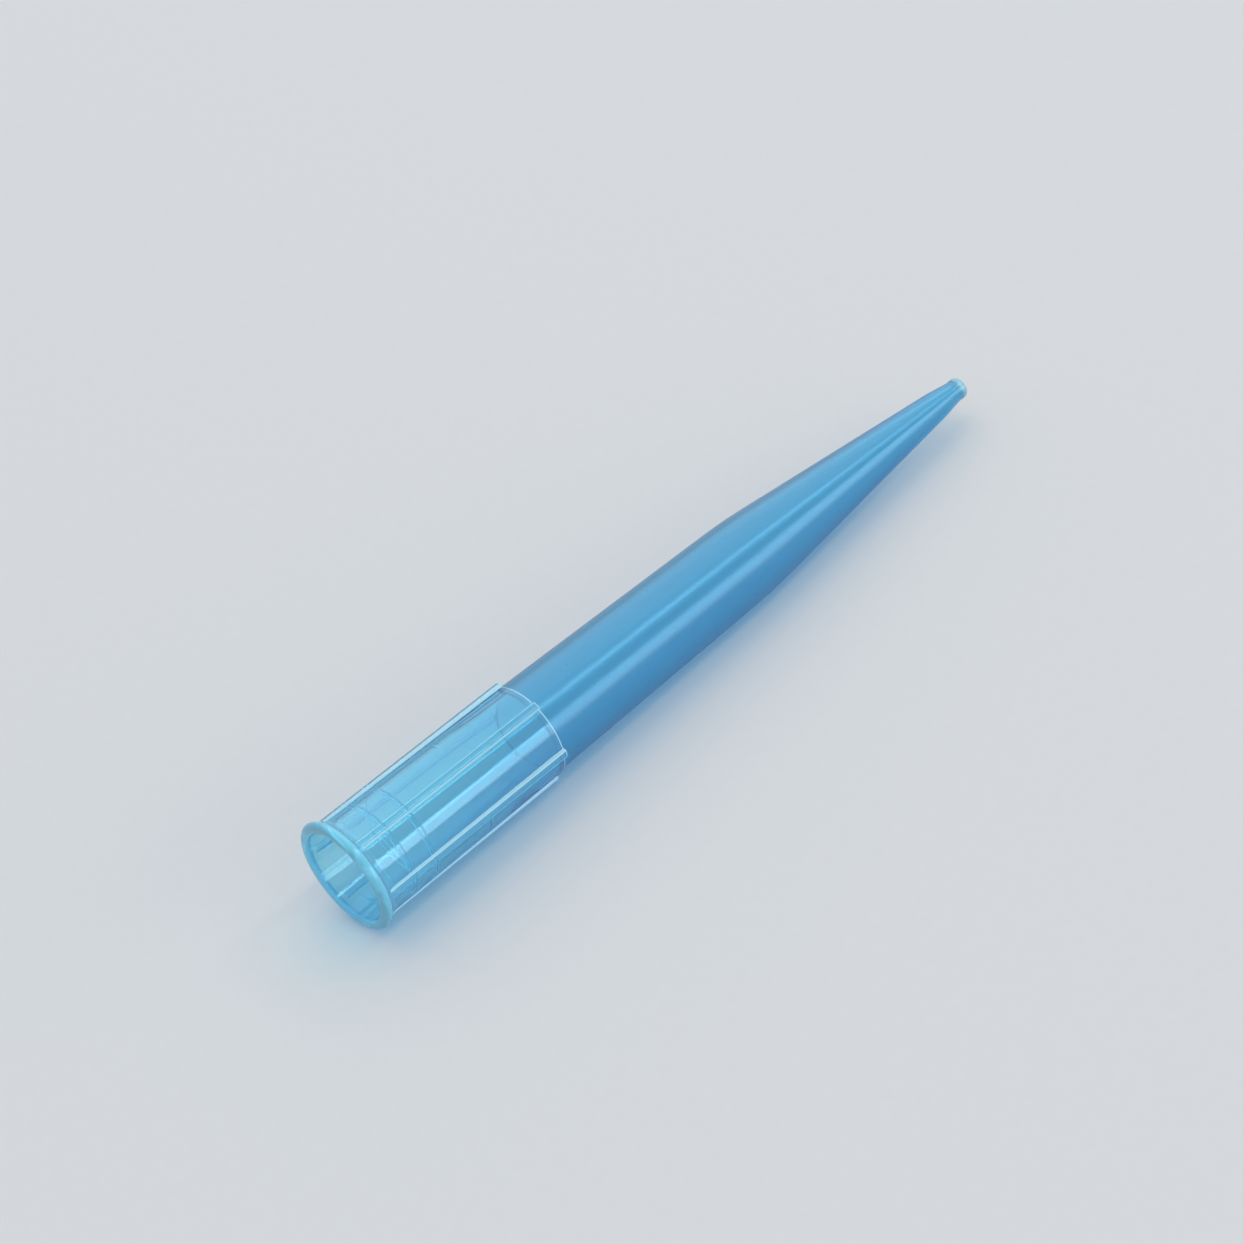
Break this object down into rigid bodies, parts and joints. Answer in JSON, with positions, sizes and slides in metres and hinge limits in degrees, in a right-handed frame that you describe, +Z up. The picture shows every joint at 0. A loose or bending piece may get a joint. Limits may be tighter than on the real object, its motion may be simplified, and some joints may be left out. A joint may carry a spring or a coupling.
{
  "type": "pipette tip",
  "caption": "Disposable pipette tip: tapered tube with a ribbed collar, a rolled lip at its open mouth and a slim cone to a fine orifice.",
  "frame": {"origin": "under the middle of the lying tip, on the surface it rests on", "axes": "+X along the tip towards its fine end, +Z up, +Y to its left; the tip's own axis dips 1.7 degrees from +X towards the end"},
  "size_m": [0.0712, 0.0096, 0.0096],
  "materials": {
    "tip_plastic": "smooth clear blue polypropylene, faintly hazy"
  },
  "bodies": {
    "root": {"pipette_tip": "tip_plastic"}
  },
  "joints": []
}
